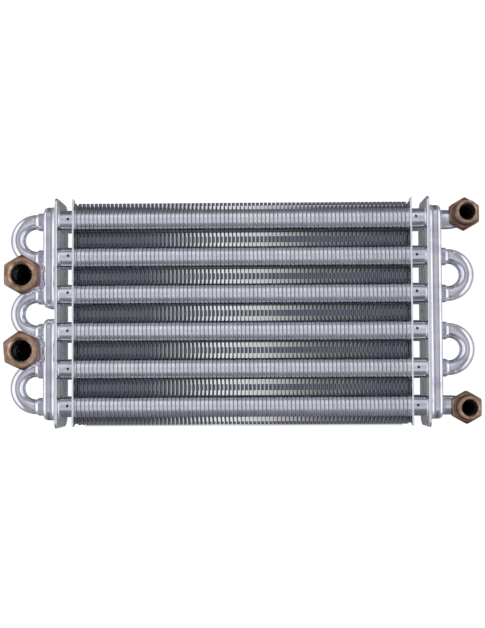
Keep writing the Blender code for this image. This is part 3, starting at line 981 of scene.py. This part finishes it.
def add_hot_water_elbow(word, tube):
    node = "hot_water_elbow_" + word
    low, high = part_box(node)
    place = TUBE_PLACES[tube]
    axis = high.x - HOT_PIPE_RADIUS
    drift = node_middle("hot_water_fitting_" + word).y - place
    lead = braze_steps(low.x, HOT_PIPE_RADIUS, INNER_RADIUS + PIPE_PLAY)
    out = Vector((RIGHT, 0, 0))
    stations = [(Vector((x, place, TUBE_HEIGHT)), out, outer, inner) for x, outer, inner in lead]
    start = Vector((axis - HOT_BEND_RADIUS, place, TUBE_HEIGHT))
    sizes = (HOT_BEND_RADIUS, HOT_PIPE_RADIUS, HOT_PIPE_BORE)
    stations += elbow(start, axis, high.z, *sizes, drift)
    add_pipe(node + "_pipe", stations, ACROSS, TINNED_ELBOW, "tinned_copper", node)


def add_inner_tube(number):
    node = f"inner_tube_{number + 1}"
    low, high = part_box(node)
    bore = INNER_RADIUS - TUBE_WALL
    stations = [
        (Vector((x, TUBE_PLACES[number], TUBE_HEIGHT)), ALONG, INNER_RADIUS, bore)
        for x in (low.x, high.x)
    ]
    add_pipe(node + "_pipe", stations, UP, BARE_COPPER, "copper", node)


# ---------------------------------------------------------------- brass fittings


def hexagon_radius(turn, flats, limit):
    """The distance from the axis to a hexagon's flats, softly cut by a round limit."""
    reach = sum(
        abs(math.cos(turn - math.radians(60 * i)) * 2 / flats) ** HEX_SOFTNESS for i in range(3)
    )
    return (reach + (1 / limit) ** HEX_SOFTNESS) ** (-1 / HEX_SOFTNESS)


def turned_ring(fitting, z, radius):
    return fitting.loop([(x, y, z) for x, y in circle(0, 0, radius, FITTING_SIDES)])


def hexagon_rings(fitting, flats, bottom, top):
    """Loops up a hexagon whose two ends are turned down to a circle at 30 degrees."""
    face = flats / 2 - HEX_FACE_MARGIN
    corner = flats / math.sqrt(3)
    chamfer = (corner - face) * HEX_CHAMFER_SLOPE
    rises = [chamfer * step / CHAMFER_STEPS for step in range(CHAMFER_STEPS + 1)]
    heights = [bottom + rise for rise in rises] + [top - rise for rise in reversed(rises)]
    rings = []
    for z in heights:
        limit = face + min(z - bottom, top - z) / HEX_CHAMFER_SLOPE
        turns = [math.tau * i / FITTING_SIDES for i in range(FITTING_SIDES)]
        radii = [hexagon_radius(turn, flats, limit) for turn in turns]
        rings.append(
            fitting.loop([(r * math.cos(t), r * math.sin(t), z) for r, t in zip(radii, turns)])
        )
    return rings


def thread_rings(fitting, radius, bottom, top):
    """Loops down a threaded bore, from its top to its bottom."""
    rings = []
    steps = round((top - bottom) / THREAD_PITCH * THREAD_STEPS)
    for step in range(steps + 1):
        z = top - (top - bottom) * step / steps
        points = []
        for i in range(FITTING_SIDES):
            phase = (z / THREAD_PITCH + i / FITTING_SIDES) % 1
            crest = abs(2 * phase - 1)
            fade = min(1, (top - z) / THREAD_PITCH, (z - bottom) / THREAD_PITCH)
            r = radius - THREAD_DEPTH * crest * fade
            turn = math.tau * i / FITTING_SIDES
            points.append((r * math.cos(turn), r * math.sin(turn), z))
        rings.append(fitting.loop(points))
    return rings


def place_fitting(fitting, axis, turn):
    """Turns the finished loops so that two of the hexagon's corners point along Y, and moves them."""
    spin = Matrix.Translation((axis.x, axis.y, 0)) @ Matrix.Rotation(turn, 4, "Z")
    fitting.points = [spin @ Vector(point) for point in fitting.points]


def add_fitting(node, rings, turned, turn):
    """Closes the loops into a body and puts brass on it."""
    turned.chain(rings, closed=True)
    place_fitting(turned, node_middle(node), turn)
    add_piece(node + "_body", turned, BRASS, "brass", node).visible_glossy = False


def add_heating_fitting(word, turn):
    """A hexagon with a round face, a threaded bore in front and a socket for the elbow behind."""
    node = "heating_fitting_" + word
    low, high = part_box(node)
    fitting = Surface()
    face_bottom = high.z - HEATING_FACE_DEPTH
    thread_top = high.z - HEATING_MOUTH_DEPTH
    thread_bottom = low.z + HEATING_LEDGE_DEPTH
    socket = HEATING_PIPE_RADIUS + PIPE_PLAY
    edge = HEATING_FACE_EDGE
    rings = hexagon_rings(fitting, HEATING_FLATS, low.z, face_bottom)
    rings += [turned_ring(fitting, z, radius) for z, radius in (
        (face_bottom, HEATING_FACE_RADIUS),
        (high.z - edge, HEATING_FACE_RADIUS),
        (high.z - edge * HEATING_EDGE_WAIST, HEATING_FACE_RADIUS - edge * HEATING_EDGE_WAIST),
        (high.z, HEATING_FACE_RADIUS - edge),
        (high.z, HEATING_MOUTH_RADIUS + PIPE_PLAY),
        (high.z - PIPE_PLAY, HEATING_MOUTH_RADIUS),
        (thread_top, HEATING_THREAD_RADIUS),
    )]
    rings += thread_rings(fitting, HEATING_THREAD_RADIUS, thread_bottom, thread_top)
    rings += [turned_ring(fitting, z, radius) for z, radius in (
        (thread_bottom, HEATING_LEDGE_RADIUS),
        (low.z + HEATING_SOCKET_DEPTH, HEATING_LEDGE_RADIUS),
        (low.z + HEATING_SOCKET_DEPTH, socket),
        (low.z, socket),
    )]
    add_fitting(node, rings, fitting, turn)


def add_hot_water_fitting(word):
    """A hexagon with a round spigot in front and a socket for the elbow behind."""
    node = "hot_water_fitting_" + word
    low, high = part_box(node)
    hex_top = low.z + HOT_HEX_HEIGHT
    radius = HOT_SPIGOT_RADIUS
    socket = HOT_PIPE_RADIUS + PIPE_PLAY
    waist_drop, waist_inset = HOT_SPIGOT_EDGE_WAIST
    fitting = Surface()
    rings = hexagon_rings(fitting, HOT_FLATS, low.z, hex_top)
    rings += [turned_ring(fitting, z, r) for z, r in (
        (hex_top, radius + HOT_SPIGOT_ROOT),
        (hex_top + HOT_SPIGOT_ROOT_WAIST, radius + HOT_SPIGOT_ROOT_WAIST),
        (hex_top + HOT_SPIGOT_ROOT, radius),
        (high.z - HOT_SPIGOT_EDGE, radius),
        (high.z - waist_drop, radius - waist_inset),
        (high.z, radius - HOT_SPIGOT_EDGE),
        (high.z, HOT_MOUTH_RADIUS + PIPE_PLAY),
        (high.z - PIPE_PLAY, HOT_MOUTH_RADIUS),
        (high.z - HOT_MOUTH_DEPTH, HOT_BORE_RADIUS),
        (high.z - HOT_LEDGE_DEPTH, HOT_BORE_RADIUS),
        (high.z - HOT_LEDGE_DEPTH, HOT_LEDGE_RADIUS),
        (low.z + HOT_SOCKET_DEPTH, HOT_LEDGE_RADIUS),
        (low.z + HOT_SOCKET_DEPTH, socket),
        (low.z, socket),
    )]
    add_fitting(node, rings, fitting, 0)


# ---------------------------------------------------------------- stage


def floor_glow():
    """White, but dim under the fins, where little light comes through: dimmer towards both ends."""
    material = bpy.data.materials.new("floor")
    material.use_nodes = True
    floor = Nodes(material.node_tree)
    floor.nodes.remove(floor.nodes["Principled BSDF"])
    x, y, _ = floor.split(floor.coordinates("Object"))
    middle, end = SHADE_GLOW
    falling = floor.spread(x, SHADE_MIDDLE, SHADE_MIDDLE + SHADE_REACH, middle, end)
    rising = floor.spread(x, SHADE_MIDDLE - SHADE_REACH, SHADE_MIDDLE, end, middle)
    light = floor.maths("MINIMUM", falling, rising)
    for place, half_size in zip((x, y), SHADE_HALF_SIZE):
        away = floor.maths("ABSOLUTE", place)
        outside = floor.spread(away, half_size - SHADE_EDGE, half_size, 0, FLOOR_GLOW)
        light = floor.maths("MAXIMUM", light, outside)
    glow = floor.nodes.new("ShaderNodeEmission")
    glow.inputs["Color"].default_value = FLOOR_TINT
    floor.links.new(light, glow.inputs["Strength"])
    floor.links.new(glow.outputs["Emission"], floor.nodes["Material Output"].inputs["Surface"])
    return material


def add_floor():
    """A floor that the metal doesn't mirror."""
    size = FLOOR_HALF_SIZE
    corners = [(-size, -size, 0), (size, -size, 0), (size, size, 0), (-size, size, 0)]
    mesh = bpy.data.meshes.new("floor")
    mesh.from_pydata(corners, [], [range(len(corners))])
    mesh.materials.append(floor_glow())
    floor = bpy.data.objects.new("floor", mesh)
    bpy.context.scene.collection.objects.link(floor)
    floor.visible_glossy = False


def add_world():
    """Bright overhead and dim down to Y's two sides, then a dark band and a bright one towards X's."""
    world = bpy.data.worlds.new("studio")
    bpy.context.scene.world = world
    world.use_nodes = True
    sky = Nodes(world.node_tree)
    x, y, z = sky.split(sky.coordinates("Generated"))
    turn = sky.spread(sky.maths("ARCTAN2", y, z), -math.pi, math.pi)
    light = sky.ramp(turn, [((degrees + 180) / 360, (value,) * 3) for degrees, value in SKY_ACROSS])
    sideways = sky.maths("ABSOLUTE", x)
    dark_edges, dark = SKY_DARK_BAND
    light = sky.between(sky.spread(sideways, *dark_edges), light, dark)
    bright_edges, bright = SKY_BRIGHT_BAND
    beside = sky.spread(z, -SKY_LOW_EDGE, SKY_LOW_EDGE, SKY_LOW_BAND, bright)
    light = sky.between(sky.spread(sideways, *bright_edges), light, beside)
    tint = sky.nodes.new("ShaderNodeVectorMath")
    tint.operation = "SCALE"
    tint.inputs[0].default_value = SKY_TINT
    sky.links.new(light, tint.inputs["Scale"])
    sky.links.new(tint.outputs["Vector"], sky.nodes["Background"].inputs["Color"])


def add_camera():
    turn = (
        Matrix.Rotation(CAMERA_TILT, 3, "X")
        @ Matrix.Rotation(CAMERA_YAW, 3, "Y")
        @ Matrix.Rotation(CAMERA_ROLL, 3, "Z")
    ).transposed()
    data = bpy.data.cameras.new("camera")
    data.lens = CAMERA_LENS
    camera = bpy.data.objects.new("camera", data)
    place = CAMERA_PIVOT + turn @ (Vector((0, 0, CAMERA_DISTANCE)) - CAMERA_OFFSET)
    camera.matrix_world = Matrix.Translation(place) @ turn.to_4x4()
    bpy.context.scene.collection.objects.link(camera)
    bpy.context.scene.camera = camera


def main():
    add_fins()
    for word in ("left", "right"):
        add_plate("side_plate_" + word, side_outline, PLATE_STEEL)
        add_plate("header_plate_" + word, header_outline, PLATE_STEEL)
    for number in range(TUBE_COUNT):
        add_outer_tube(number)
        add_inner_tube(number)
    add_shell("header_shell_left_upper", TUBE_PLACES[:3], "heating_elbow_upper")
    add_shell("header_shell_left_lower", TUBE_PLACES[3:], "heating_elbow_lower")
    add_shell("header_shell_right", TUBE_PLACES, None)
    for number in (1, 2, 3):
        add_return_bend(f"return_bend_left_{number}")
    for number in (1, 2):
        add_return_bend(f"return_bend_right_{number}")
    add_heating_elbow("upper")
    add_heating_elbow("lower")
    add_heating_fitting("upper", 0)
    add_heating_fitting("lower", HEATING_LOWER_TURN)
    add_hot_water_elbow("top", 0)
    add_hot_water_elbow("bottom", TUBE_COUNT - 1)
    add_hot_water_fitting("top")
    add_hot_water_fitting("bottom")
    add_floor()
    add_world()
    add_camera()
    bpy.context.scene.view_settings.view_transform = "Standard"


main()
